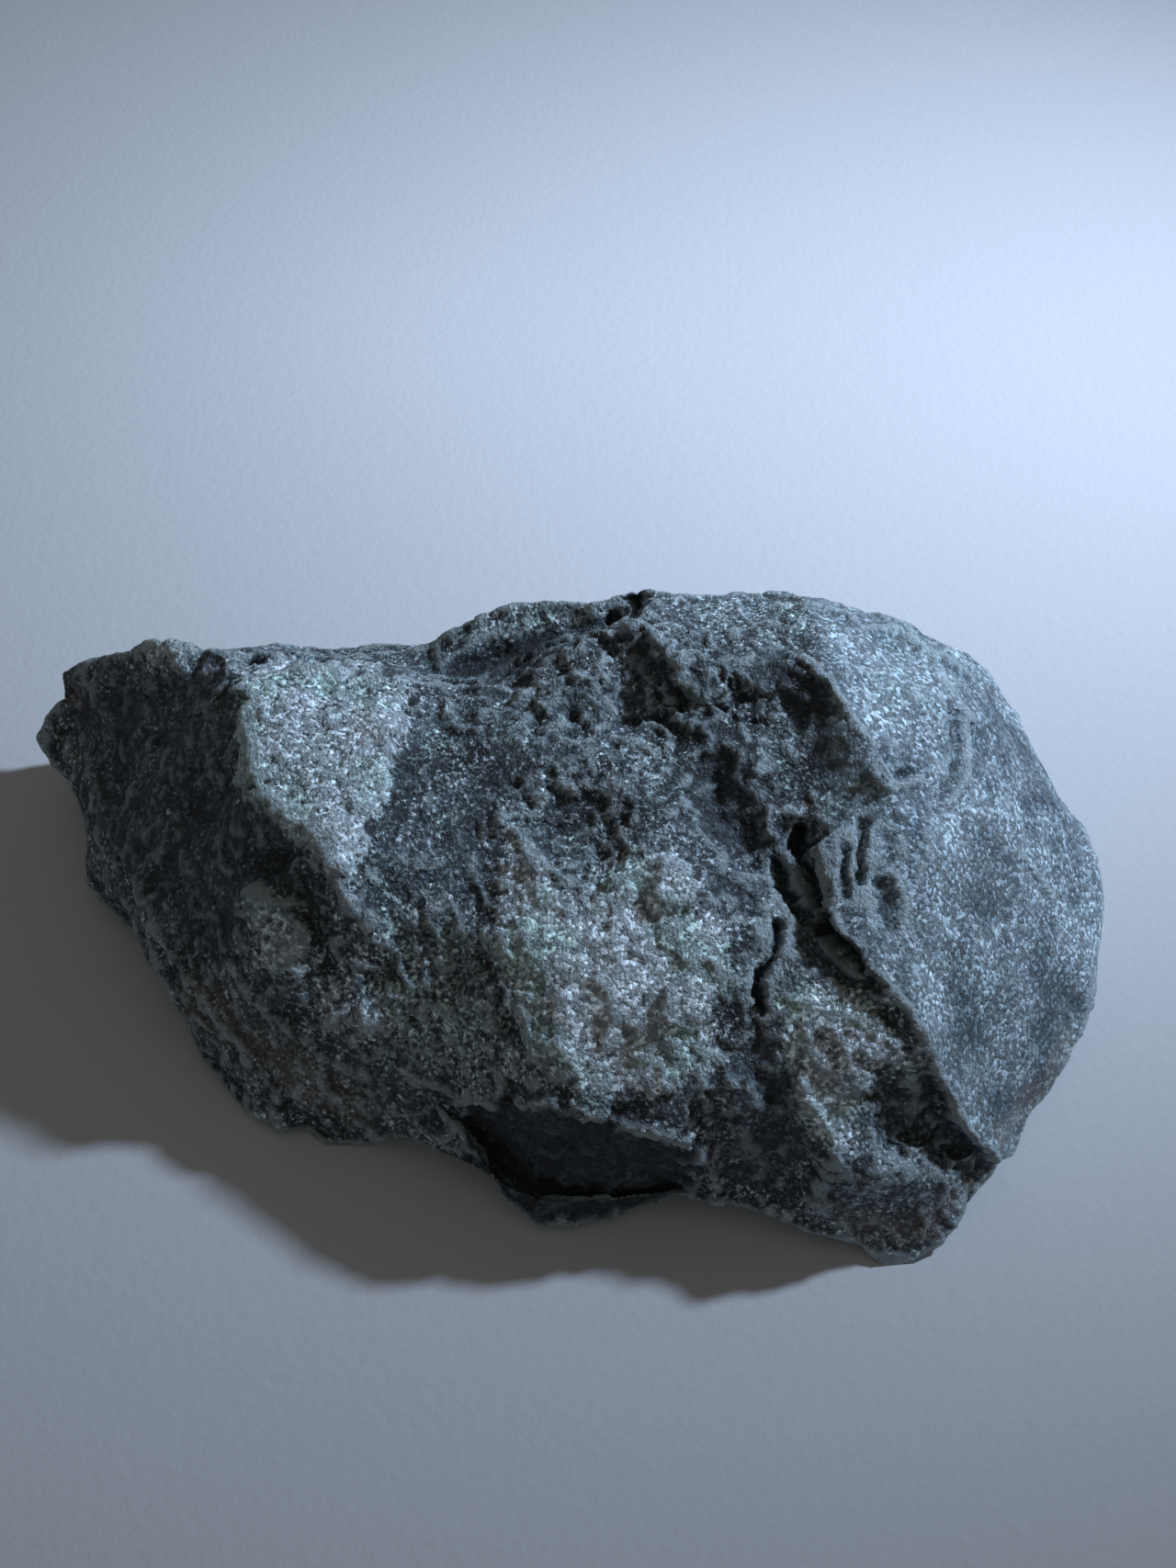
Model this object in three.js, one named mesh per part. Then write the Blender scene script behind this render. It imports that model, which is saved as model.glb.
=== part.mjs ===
// A hand-sized lump of raw pyrophyllite: one broken piece of dark blue-grey stone, rough on every side.
// Millimetres, +Z up. X runs along its length, from the thin left end to the rounded right end, and +Y
// points to its steep back. It lies on a parting face that broke flat, on z = 0.
import * as THREE from "three";
import { ConvexHull } from "three/addons/math/ConvexHull.js";
import { ImprovedNoise } from "three/addons/math/ImprovedNoise.js";
import { mergeVertices } from "three/addons/utils/BufferGeometryUtils.js";

const height = 31; // of the highest break line
const lineStep = 2.2; // corners along a break line are at most this far apart, so that its edge is kept
const longestEdge = 3.1; // the finest step of the broken surface
const longestFlatEdge = 14; // and of the flat parting face
const mergeDistance = 1e-3;

// The uneven break, as noise of two wavelengths. The broad face at the right parted smoothly: from smoothFrom
// to smoothTo along the stone the noise fades to smoothStrength.
const waves = [
  { length: 13, height: 1.1 },
  { length: 5.5, height: 0.6 },
];
const smoothFrom = 27;
const smoothTo = 34;
const smoothStrength = 0.4;

// For joining the corners: half the ellipse that the stone is unrolled into, how far low corners are pushed
// outward there, and the largest reach in it of a corner that isn't on the outline.
const planSize = new THREE.Vector2(64, 40);
const unroll = 0.25;
const innerReach = 0.97;

// The outline seen from above, all the way round: the lowest edge of the stone, or its widest where the
// sides are undercut.
const outline = {
  front: [
    [-52.5, 21, 8], [-50.5, 18.5, 6], [-47, 13, 4], [-46, 7, 3], [-42.5, 3, 2], [-39, -1.5, 1.5],
    [-37.5, -4, 1], [-32, -12, 1], [-28.5, -16.5, 1], [-25, -19, 1], [-22.5, -19, 1], [-20.5, -20, 0.5],
    [-17, -20, 1], [-15.5, -20.5, 2.5], [-12.5, -21, 3.5], [-8.5, -23, 4], [-6, -25, 3],
    [-4.5, -27, 1.5], [-1.5, -28.5, 1], [2, -28, 1], [6, -27, 1.5], [11, -27.3, 3.4], [13, -27.7, 3],
    [19.5, -28.5, 2.5], [22, -29.5, 2], [26.5, -30, 1.5], [28.5, -31, 0.5], [31, -31, 0.5],
    [33.5, -30, 1], [36, -27, 2], [39, -24, 4],
  ],
  right: [
    [41, -21.5, 2], [43, -18, 1.5], [45, -16, 1.5], [47, -13, 1.5], [49, -9.5, 2], [50.5, -6, 2.5],
    [52, -0.5, 3], [52.5, 3.5, 4], [52.5, 8, 5], [51.5, 11.5, 6], [49.5, 14.5, 7.5], [47.5, 18, 9],
    [45.5, 20.5, 11], [43.5, 23.5, 12.5],
  ],
  back: [
    [43, 27, 4], [35, 30, 1], [22, 32, 1], [8, 31.5, 2], [-6, 30.5, 1], [-20, 29.5, 1], [-34, 27.5, 2],
    [-45, 26, 3], [-49, 24.8, 8], [-50.3, 23, 11], [-51.5, 22, 9.5],
  ],
};

// The edges, ledges and valleys of the break, each as corner points [x, y, z] along its line.
const breakLines = {
  backRim: [
    [42.3, 24.5, 15], [40, 25, 17], [36.5, 24.5, 18.5], [35, 25.5, 20], [31.5, 25, 22],
    [29, 24, 22.5], [27.5, 24, 24], [24.5, 24, 25], [20, 23, 26.5], [15, 22, 28], [11.5, 21.5, 29],
    [8, 22, 29], [4, 21.5, 28], [1.5, 22, 27], [-4, 22.5, 25], [-9, 22.5, 22.5], [-12, 22, 21],
    [-14.5, 22, 20], [-20.5, 21, 20.5],
    [-23.5, 19.5, 23], [-29.5, 19.5, 24], [-34, 19.5, 24], [-38, 20.5, 23.5], [-39.5, 21, 22],
    [-43, 22, 19], [-46.5, 22.5, 16.5], [-49, 23.8, 14.5],
  ],
  leftCorner: [
    [-30, 17.5, 25], [-29.5, 14, 25.5], [-28.5, 10.5, 25.5], [-28, 8.5, 25], [-27.5, 4, 25],
    [-26.5, 1, 24.5], [-24, -1, 24], [-21, -3.5, 23.3], [-18.5, -5.5, 22.4], [-17, -8.5, 21],
  ],
  shelfLip: [
    [-26.5, 14.5, 24.5], [-21.5, 15, 24], [-17, 15, 23.5], [-14, 15.5, 23.5], [-10.5, 14.5, 23.5],
    [-7, 13.5, 24], [-3.5, 13.5, 24.5],
  ],
  frontBlock: [
    [-3.5, 14, 25], [-2, 14.5, 26], [0, 15, 27], [2.5, 15.5, 28], [4.5, 16, 28.5], [7, 17, 29.5],
  ],
  valley: [
    [-18, 19, 21], [-14.5, 19, 20.5], [-10, 18.5, 20.5], [-5.5, 19.5, 21], [-1.5, 19.5, 23],
    [2, 19.5, 25], [5, 20, 26.5],
  ],
  scarpTop: [
    [8, 17, 30], [9, 15.5, 30], [10.5, 13, 30.5], [12, 11, 30.5], [14, 10.5, 30.5], [16, 12, 31],
    [18, 12.5, 31],
  ],
  scarpFoot: [
    [5.5, 15.3, 27.5], [7, 13.3, 27], [8.5, 10.3, 27], [10.5, 7.3, 27.2], [13, 6.5, 27.8],
    [15, 8.8, 28],
  ],
  upperCrest: [
    [20, 11.5, 31.5], [22, 11, 31.5], [23.5, 9, 31.5], [24, 7, 31.5], [25, 5.5, 31], [26, 3, 30.5],
    [27, 1.5, 30], [28, -0.5, 29.5], [28, -1, 28],
  ],
  crestFoot: [
    [18, 9.8, 30], [20, 7.8, 29.5], [21.5, 5.3, 29], [23, 2.8, 28.5], [25, -0.1, 27.9],
    [27, -1.8, 27.1],
  ],
  lipArc: [
    [32, 19, 25.5], [34.5, 18, 24.5], [36, 14, 24.5], [37, 10, 24], [36.5, 7, 23.5], [35.5, 3, 23.5],
  ],
  lowerCrest: [
    [22.5, -5.5, 26.3], [23, -8.5, 25.4], [23, -11, 24.8], [24, -12.5, 24.2], [25, -13.5, 23.5],
    [26.5, -15, 22.8], [27, -15.5, 22.3], [28.5, -17.5, 21], [30.5, -19, 19], [32, -21, 16.5],
    [33.5, -22.5, 14], [34.5, -24, 11.2], [36.5, -24.5, 8.8], [38, -24.5, 6.5],
  ],
  gash: [
    [20.5, -5.5, 24], [20.5, -8, 22.8], [21.5, -10.5, 21.5], [22.5, -12.5, 20.8], [24.5, -14.5, 20.4],
    [26, -15.5, 20.4],
  ],
  foldLedge: [
    [-4.5, -1, 24], [-3.5, -2.5, 24], [-2, -4.5, 24], [0, -6.5, 24], [2, -8, 24],
  ],
  hollowTop: [
    [-7.5, -21.2, 10.2], [-3.5, -23, 12.6], [0, -24.4, 14], [3, -25, 14.2], [7, -25.7, 13.3],
    [11, -26.1, 12],
  ],
  hollowBack: [
    [-6, -22.6, 2.5], [-2.5, -24.3, 2], [1.5, -25.5, 1.8], [6, -26.2, 1.8], [10, -26.6, 2.2],
  ],
  hollowSide: [
    [11.8, -26.4, 11.2], [11.8, -26.6, 8], [12, -26.9, 4.5],
  ],
  hollowLip: [
    [-4.5, -26.3, 3.2], [0, -27.1, 4], [4, -26.9, 4], [8, -26.9, 3.8],
  ],
  backLedge: [[-34, 26, 15], [-20, 27.5, 14], [-6, 29, 14.5], [7, 28.5, 16]],
  backLedgeRoot: [[-34, 23.5, 16.5], [-20, 24.5, 15.5], [-5, 26, 16], [8, 25.5, 17.5]],
  backStep: [[13, 30.5, 8], [26, 31, 7], [39, 28.5, 5]],
  backStepRoot: [[14, 27.5, 9.5], [26, 27.5, 8.5], [38, 26, 7]],
};

// Single corners on the faces between those lines.
const facePoints = {
  shelf: [
    [-26, 18.5, 22.5], [-23, 19, 21.5], [-16.5, 21.5, 19.5],
  ],
  backBlock: [
    [-7.5, 20, 22.5], [-4, 20.5, 23.5], [-0.5, 21, 25], [3.5, 20.5, 27],
  ],
  plateau: [
    [11.5, 17.5, 29.5], [15.5, 17, 29.5], [19.5, 17.5, 29], [23, 16, 29], [26.5, 16.5, 28],
    [29, 17, 27], [13, 13.5, 30],
  ],
  leftBlock: [
    [2, 12.5, 27.5], [4.5, 13, 27.5], [-0.5, 10, 26.5], [4, 9.5, 27], [7, 8, 25.5], [2, 7.5, 26],
  ],
  upperFace: [
    [-3.5, 8, 25.5], [-6, 4, 25], [-10, 7.5, 24.5], [-13.5, 11.5, 24], [-14, 5, 24], [-18.5, 9, 24],
    [-23.5, 10, 24.5], [-23, 3.5, 24.5], [-18.5, 3, 24], [-13, 0.5, 23], [-8, 0, 24], [-20, -2.5, 24],
    [-16, -4, 22.5], [0, 3.5, 26], [4.5, 3, 26.5], [9.5, 2.5, 27], [11, -1, 26], [7.5, -1.5, 26],
    [4, -1.5, 24.5], [0.5, -2, 24], [-2.5, 1, 25.2],
  ],
  roughFace: [
    [16, 9.5, 28.4], [18, 6, 28.2], [15, 5, 28], [14, 2, 25.8], [14, -1.2, 24.6], [16.5, 1.5, 27],
    [20, 1, 26.5], [18.5, -1.5, 26], [22, -2, 25.5], [24.5, -4, 26], [15.5, -2.5, 24], [21, -3, 23.5],
    [22.5, -4, 23.5], [17, -5.5, 22.5], [14.5, -6, 24],
    [17, -4, 24], [18.5, -7, 23.2],
  ],
  rightFacet: [
    [24, 13, 30], [27, 11, 29.5], [30, 7.5, 28.5], [30.5, 3.5, 28], [33, 10, 27], [33, 3.5, 26],
    [30, 1, 27.3], [29.5, -2, 26.5], [33, -0.5, 24.5],
  ],
  crestShoulder: [
    [25.5, -4.5, 26.3], [28.5, -3.5, 26], [29.5, -6.5, 25.2], [26.5, -10, 24.9], [29.5, -11, 22.6],
    [31, -8, 23.9], [32, -4.5, 24.6], [32.5, -10, 21.3], [26.5, -12.5, 23.5], [25, -8, 25.5],
  ],
  rightFace: [
    [31, -14, 19.8], [35.5, -8.5, 18.5], [35.5, -3.5, 20.8], [40.5, 4, 18.5], [42.5, 11, 17.5],
    [40, 14.5, 20], [45.5, 3, 12.5], [42.5, -3, 14], [40.5, -9, 13], [36, -14, 14.5], [37.5, -17, 10.5],
    [39, -20, 6.5], [43.5, -14.5, 6], [45.5, -8.5, 7.5], [47.5, -1, 8.5], [49, 5, 8.5], [38, 20, 20],
  ],
  middleFace: [
    [4.5, -6.5, 24], [7.5, -6.5, 25.2], [10.5, -7.5, 25.3], [12, -9.5, 24.8], [10.5, -11, 23.7],
    [7.5, -12, 23.2], [14, -10, 23.7], [14.5, -13.5, 22.4], [18, -11.5, 22.6], [18, -14.5, 21.6],
    [17, -17.5, 20.2], [20, -14, 22], [20.5, -17.5, 20.9], [24.5, -18, 19.8], [27.5, -19, 18.5],
    [13, -17, 20.8], [9, -15.5, 21.5], [4, -13.5, 22.3], [-1, -10, 23.1], [-5, -7, 23], [-8, -4.5, 23],
    [-4.5, -12.5, 21.2], [-9.5, -9.5, 20.7], [0, -16, 20.8], [-13.5, -7.5, 20.5], [-13.5, -10.5, 18],
    [-6, -16, 18.4],
  ],
  lowFace: [
    [-13, -14.5, 14.4], [-9.5, -18, 13.7], [-4.5, -20, 15.6], [0, -21, 17.4], [4.5, -21, 17.9],
    [7.5, -23, 16.2], [11, -23.5, 15.6], [13.5, -21, 17.5], [14.5, -23.5, 15.4], [7.5, -19.5, 19.3],
    [13.5, -19, 19.2], [4, -18, 20], [3, -23.5, 15.9], [-1.5, -22.5, 15.1],
  ],
  lowRight: [
    [16.5, -21.5, 15.8], [18.5, -23, 14], [20, -24, 15.2], [22, -21.5, 18], [24, -23, 16.6],
    [22, -25.5, 14.6], [26, -21, 17.6], [28, -23.5, 14.8], [27.5, -25, 12], [30.5, -24, 9.2],
    [29.5, -23, 13], [31.5, -23, 13], [32, -24.5, 9.6], [34, -24.5, 7], [34.5, -25.5, 8],
    [36.5, -25.5, 6.5], [31, -27.5, 6.8], [27, -28, 10], [23.5, -27.5, 12.2], [23, -28.5, 7],
    [19, -25.5, 11.2], [17.5, -24.5, 12.6], [18, -26.5, 7.5], [15.5, -25.5, 11.5], [13.5, -25.5, 11.2],
    [15, -26.5, 5], [13.5, -26.5, 5], [20.5, -27.5, 5.5], [28, -29.5, 3], [33, -28.5, 3.5],
  ],
  lowLeft: [
    [-11.5, -20, 8.5], [-14.5, -19, 7.5], [-19, -17.5, 7], [-22.5, -18, 4], [-26.5, -16.5, 4],
    [-29.5, -13, 5], [-24.5, -14.5, 9], [-21, -14, 12], [-17, -15.5, 12.5], [-16, -12.5, 15],
    [-20, -11, 16], [-22.5, -11, 17.3], [-24, -11.5, 15], [-26, -8, 16.8], [-25.5, -6, 18.8],
    [-21.5, -7.5, 19], [-29, -5.5, 14.5], [-31, -8, 10], [-34, -5.5, 8.5], [-35, -8.5, 5.5],
    [-39, -1.5, 7.5], [-37, 0, 11], [-42.5, 4.5, 6.5],
  ],
  leftFace: [
    [-48.5, 20, 9.5], [-46.5, 21, 13], [-48, 23, 12.7], [-45, 21, 16], [-44, 18, 13.5],
    [-39.5, 17, 18.5], [-36.5, 18, 22.5], [-34, 17, 22.5], [-32, 12.5, 23], [-32.5, 10, 21.5],
    [-38.5, 12.5, 16], [-45, 14, 10], [-41.5, 9.5, 11], [-44, 9.5, 8.5], [-35, 6.5, 16.5],
    [-34, 2.5, 15], [-30, 5, 20], [-30, 1, 18.5], [-28, -2, 18.5], [-23.5, -3, 20], [-39, 4, 11.5],
    [-43, 15, 12.5],
  ],
  backFace: [
    [41.5, 26, 9], [34, 26.5, 14], [24, 26, 17], [15, 26, 20], [3, 24.5, 22],
    [-12, 24.5, 18], [-26, 23, 19], [-38, 24, 16], [-43, 25, 10], [-28, 28, 8], [-12, 29.5, 7],
    [2, 30.5, 8],
  ],
};

// Corners under the outline: the undercut of both ends, then the parting face, just under z = 0.
const underside = [
  [42, 22.5, 1], [47, 16, 1], [50, 9, 1], [51, 3, 1], [-49.5, 20.5, 2], [-45.5, 12.5, 1],
  [-36, 8, -1], [-28, -6, -1.5], [-15, -13, -1.5], [0, -19, -1.5], [16, -20, -1.5], [30, -22, -1.5],
  [39, -10, -1.5], [43, 8, -1.5], [34, 21, -1.5], [14, 24, -1.5], [-10, 21, -1.5], [-30, 18, -1],
  [-12, 4, -1.5], [16, 2, -1.5],
];

// Adds corners along a line, so that none is further than lineStep from the next.
function closeCorners(line) {
  const corners = [line[0]];
  for (let i = 1; i < line.length; i++) {
    const length = line[i - 1].distanceTo(line[i]);
    const count = Math.ceil(length / lineStep);
    for (let k = 1; k <= count; k++) corners.push(line[i - 1].clone().lerp(line[i], k / count));
  }
  return corners;
}

// Where a corner lies on a ball: seen from above, with the steep rim unrolled outward, then wrapped over the
// upper half of the ball (half = 1) or the lower (-1). The outline is the ball's equator (0).
function onBall(corner, half) {
  const plan = new THREE.Vector2(corner.x, corner.y).divide(planSize);
  plan.multiplyScalar(1 + unroll * (1 - corner.z / height) * plan.lengthSq());
  if (half === 0) plan.normalize();
  else plan.clampLength(0, innerReach);
  const spread = 1 + plan.lengthSq();
  return new THREE.Vector3(2 * plan.x, 2 * plan.y, half * (2 - spread)).divideScalar(spread);
}

// Joins the corners into one closed faceted surface: the convex hull of their places on the ball says which
// corners are neighbours. The result is a list of triangles, as corners in threes.
function joinedCorners() {
  const toVectors = (list) => list.map((corner) => new THREE.Vector3(...corner));
  const alongLines = (lines) => Object.values(lines).flatMap((line) => closeCorners(toVectors(line)));
  const upper = [...alongLines(breakLines), ...Object.values(facePoints).flatMap(toVectors)];
  const cornerAt = new Map();
  for (const corner of upper) cornerAt.set(onBall(corner, 1), corner);
  for (const corner of alongLines(outline)) cornerAt.set(onBall(corner, 0), corner);
  for (const corner of toVectors(underside)) cornerAt.set(onBall(corner, -1), corner);
  const triangles = [];
  for (const face of new ConvexHull().setFromPoints([...cornerAt.keys()]).faces) {
    let edge = face.edge;
    do {
      triangles.push(cornerAt.get(edge.head().point));
      edge = edge.next;
    } while (edge !== face.edge);
  }
  return triangles;
}

// Halves a triangle at its longest edge again and again, until none of its edges is too long.
function splitTriangle(a, b, c, finished) {
  const sides = [[a, b, c], [b, c, a], [c, a, b]];
  const excess = sides.map(([p, q]) => {
    const limit = Math.max(p.z, q.z) < 0 ? longestFlatEdge : longestEdge;
    return p.distanceTo(q) / limit;
  });
  const worst = excess.indexOf(Math.max(...excess));
  if (excess[worst] <= 1) {
    finished.push(a, b, c);
    return;
  }
  const [p, q, opposite] = sides[worst];
  const middle = p.clone().add(q).divideScalar(2);
  splitTriangle(p, middle, opposite, finished);
  splitTriangle(middle, q, opposite, finished);
}

// A smooth random vector at a point, each part between about -1 and 1: noise read at three places that are
// far enough apart to have nothing in common.
const noise = new ImprovedNoise();
function drift(point, length) {
  const [x, y, z] = point.toArray().map((c) => c / length);
  return new THREE.Vector3(
    noise.noise(x + 7.3, y, z),
    noise.noise(x, y + 41.7, z),
    noise.noise(x, y, z + 83.1),
  );
}

// Shifts the surface by the noise, so that no edge is straight and no facet is flat.
function roughen(point) {
  const smoothPart = THREE.MathUtils.smoothstep(point.x, smoothFrom, smoothTo);
  const strength = THREE.MathUtils.lerp(1, smoothStrength, smoothPart);
  const shift = new THREE.Vector3();
  for (const wave of waves) shift.addScaledVector(drift(point, wave.length), wave.height * strength);
  return point.add(shift);
}

function stoneGeometry() {
  const corners = joinedCorners();
  const triangles = [];
  for (let i = 0; i < corners.length; i += 3) {
    splitTriangle(corners[i], corners[i + 1], corners[i + 2], triangles);
  }
  const surface = mergeVertices(new THREE.BufferGeometry().setFromPoints(triangles), mergeDistance);
  const position = surface.getAttribute("position");
  const point = new THREE.Vector3();
  for (let i = 0; i < position.count; i++) {
    roughen(point.fromBufferAttribute(position, i));
    position.setXYZ(i, point.x, point.y, Math.max(point.z, 0)); // the parting face is flat
  }
  surface.computeBoundingBox();
  const middle = surface.boundingBox.getCenter(new THREE.Vector3());
  surface.translate(-middle.x, -middle.y, 0);
  return surface;
}

const material = new THREE.MeshStandardMaterial({ color: 0x5b666e, roughness: 0.75, metalness: 0 });
const stone = new THREE.Mesh(stoneGeometry(), material);
stone.name = "stone";

const group = new THREE.Group();
group.add(stone);
export default group;
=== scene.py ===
"""A dark blue-grey stone of raw pyrophyllite, lying on pale paper beside one lamp."""

import itertools
import math

import bpy
import numpy as np
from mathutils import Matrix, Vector
from mathutils.bvhtree import BVHTree


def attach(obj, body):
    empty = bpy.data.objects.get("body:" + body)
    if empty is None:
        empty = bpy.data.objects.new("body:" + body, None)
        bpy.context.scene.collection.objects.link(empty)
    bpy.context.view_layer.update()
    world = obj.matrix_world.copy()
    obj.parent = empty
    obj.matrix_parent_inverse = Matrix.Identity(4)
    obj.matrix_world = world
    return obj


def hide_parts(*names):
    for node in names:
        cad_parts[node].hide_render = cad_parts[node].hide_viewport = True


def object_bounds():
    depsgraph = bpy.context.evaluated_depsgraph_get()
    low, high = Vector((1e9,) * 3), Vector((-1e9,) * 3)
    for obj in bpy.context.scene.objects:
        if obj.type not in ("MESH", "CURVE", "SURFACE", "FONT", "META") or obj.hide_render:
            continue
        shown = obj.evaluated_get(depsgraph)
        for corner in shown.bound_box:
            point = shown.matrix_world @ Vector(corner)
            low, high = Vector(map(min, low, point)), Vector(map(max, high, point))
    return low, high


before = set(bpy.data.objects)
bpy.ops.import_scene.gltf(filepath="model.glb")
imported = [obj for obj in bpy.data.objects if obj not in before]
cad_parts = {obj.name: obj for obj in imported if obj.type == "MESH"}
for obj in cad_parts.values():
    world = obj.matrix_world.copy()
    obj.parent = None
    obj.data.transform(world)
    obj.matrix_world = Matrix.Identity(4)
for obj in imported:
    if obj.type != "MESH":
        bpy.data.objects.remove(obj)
cad_box = [list(corner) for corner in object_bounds()]

# The camera is a phone held over the paper a little in front of the stone, looking down at 52
# degrees. The marks in the sections below are places in its picture, in pixels of 1280 x 1707.
mm = 0.001
picture_size = np.array([1280, 1707])
picture_focal = 2086
look_down = math.radians(52)
camera_distance = 188 * mm
camera_target = np.array([2.9, 14.7, 8]) * mm

to_camera = np.array([0, -math.cos(look_down), math.sin(look_down)])
picture_up = np.array([0, math.sin(look_down), math.cos(look_down)])
camera_place = camera_target + camera_distance * to_camera

camera_data = bpy.data.cameras.new("camera")
camera_data.sensor_width = 36
camera_data.lens = picture_focal / picture_size[1] * camera_data.sensor_width
camera_data.clip_start = 0.01
camera = bpy.data.objects.new("camera", camera_data)
camera.location = camera_place
camera.rotation_mode = "QUATERNION"
camera.rotation_quaternion = Vector(-to_camera).to_track_quat("-Z", "Y")
bpy.context.scene.collection.objects.link(camera)
bpy.context.scene.camera = camera


# The stone is one broken lump of massive pyrophyllite. Its main faces, ledges and hollows are the
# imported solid's own. Here they get what a break leaves between them: chips, slots, pits and grain.

# The longest edges allowed in its mesh, in mm, and what counts as the flat underside.
longest_seen_edge = 0.56
longest_hidden_edge = 0.95
longest_flat_edge = 9.0
flat_height = 0.05
halving_rounds = 6

# How often points are averaged: to round the solid, for smooth directions, and to tell what stands
# out over about 1 mm and over about 3 mm.
rounding_passes = 3
direction_passes = 4
fine_passes = 8
broad_passes = 60

# Where the smooth face on the right begins, along its edge in the picture.
smooth_face_start = [(890, 915), (905, 985), (930, 1026), (1000, 1118), (1050, 1225), (1085, 1260)]
# The faces that broke more evenly than the rest: their outlines in the picture.
even_faces = {
    "broad face in the middle": [
        (425, 765), (560, 785), (680, 810), (750, 880), (730, 915), (650, 925), (600, 900), (545, 885),
        (500, 950), (430, 970), (400, 900)],
    "face of the back block": [
        (380, 715), (470, 690), (560, 655), (690, 630), (700, 655), (640, 700), (560, 745), (380, 745)],
}

# Narrow cuts: their line, half width and depth in mm.
cuts = {
    "pocket under the crest": ([(893, 1000), (902, 1018), (919, 1038), (934, 1052)], 0.9, 2.4),
    "slot above the pocket": ([(872, 900), (871, 930), (880, 958), (887, 985)], 0.7, 1.8),
    "slot left of the rib": ([(842, 935), (850, 955), (862, 980), (878, 1000)], 0.55, 1.3),
    "crack": ([(847, 1003), (846, 1028), (838, 1048), (826, 1068), (824, 1085), (830, 1100)], 0.4, 1.4),
    "first finger": ([(921, 922), (917, 945), (921, 972)], 0.4, 0.6),
    "second finger": ([(940, 897), (935, 925), (939, 958)], 0.45, 0.8),
    "tip nick": ([(975, 845), (990, 838)], 0.5, 0.9),
    "dark slot on the left shelf": ([(258, 709), (270, 711), (285, 718)], 0.5, 1.3),
    "crevice by the back block": (
        [(475, 738), (520, 742), (560, 722), (600, 703), (640, 690), (670, 674)], 0.6, 1.2),
    "foot of the lip arc": ([(1038, 770), (1040, 810), (1040, 850), (1020, 880)], 0.7, 0.5),
}

# Rounded pits: their line, radius and depth in mm.
pits = {
    "upper oval pit": ([(968, 912), (970, 936)], 0.7, 0.5),
    "lower oval pit": ([(960, 960), (966, 975), (968, 994)], 1.1, 1.1),
    "pit by the back rim": ([(688, 650), (690, 664)], 0.8, 1.3),
    "block pit": ([(622, 780), (628, 800)], 0.9, 0.8),
    "second block pit": ([(575, 765), (590, 790)], 0.9, 0.7),
    "right recess": ([(962, 1195), (975, 1222), (985, 1248)], 1.4, 0.9),
    "far right recess": ([(1012, 1195), (1022, 1222), (1036, 1245)], 1.3, 1.1),
    "low right recess": ([(1066, 1258), (1070, 1285)], 0.9, 0.9),
    "shallow dip": ([(605, 890), (640, 920)], 3.6, 0.6),
}

# Raised ribs and edges: their line, half width and height in mm.
ribs = {
    "thin rib": ([(836, 908), (855, 931), (873, 956), (884, 976)], 0.5, 0.6),
    "strip beside the hollow": ([(768, 1245), (772, 1270), (778, 1298)], 1.2, 0.6),
    "front rib": ([(780, 1150), (788, 1165), (795, 1182)], 0.8, 0.7),
    "tip edge": ([(960, 856), (985, 852), (1002, 850)], 0.5, 0.5),
    "left ledge": ([(262, 985), (285, 972), (310, 985), (330, 1020)], 1.2, 0.6),
    "crest edge": ([(900, 990), (915, 1012), (938, 1045), (965, 1068), (1000, 1118), (1018, 1155),
                    (1035, 1190), (1052, 1228), (1085, 1262)], 0.5, 0.5),
    "block edge": ([(845, 703), (875, 715), (900, 740), (925, 775), (950, 815), (964, 848)], 0.5, 0.45),
    "lip arc": ([(985, 690), (1010, 705), (1026, 747), (1052, 780), (1052, 843), (1030, 872)],
                0.8, 0.35),
    "lip of the hollow": ([(440, 1165), (505, 1196), (600, 1203), (690, 1228), (745, 1242)], 0.8, 0.5),
    "shelf edge": ([(385, 745), (440, 742), (500, 748), (555, 752)], 0.6, 0.35),
    "ledge on the left": ([(340, 742), (344, 765), (341, 790), (350, 815)], 0.5, 0.3),
    "chip on the shelf": ([(487, 765), (497, 790), (520, 795)], 0.6, 0.4),
    "fold": ([(545, 888), (560, 905), (578, 930), (600, 948), (625, 962)], 0.7, 0.45),
    "edge of the upper face": ([(560, 765), (590, 745), (625, 735), (655, 750), (668, 785)], 0.6, 0.35),
    "low left ledge": ([(235, 1000), (262, 1060), (300, 1110), (345, 1145), (400, 1170)], 0.7, 0.5),
    "second left ledge": ([(150, 960), (180, 1030), (225, 1090), (270, 1150)], 0.8, 0.45),
    "streak by the crest": ([(862, 1165), (876, 1188), (890, 1212)], 0.5, 0.35),
    "second streak": ([(905, 1120), (922, 1150), (936, 1185)], 0.5, 0.3),
    "small step": ([(1107, 928), (1122, 946), (1144, 976), (1152, 1013)], 0.6, 0.35),
    "fill of the break": ([(690, 725), (725, 755), (755, 770)], 3.4, 0.8),
    "back rim edge": ([(845, 657), (890, 662), (925, 672), (935, 683), (978, 686)], 0.8, 0.5),
    "right rim edge": ([(990, 697), (1012, 714), (1040, 728), (1060, 748), (1070, 765)], 0.8, 0.6),
    "left corner": ([(262, 790), (270, 862), (300, 890), (335, 925), (362, 955), (385, 992)], 0.6, 0.4),
}

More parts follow.
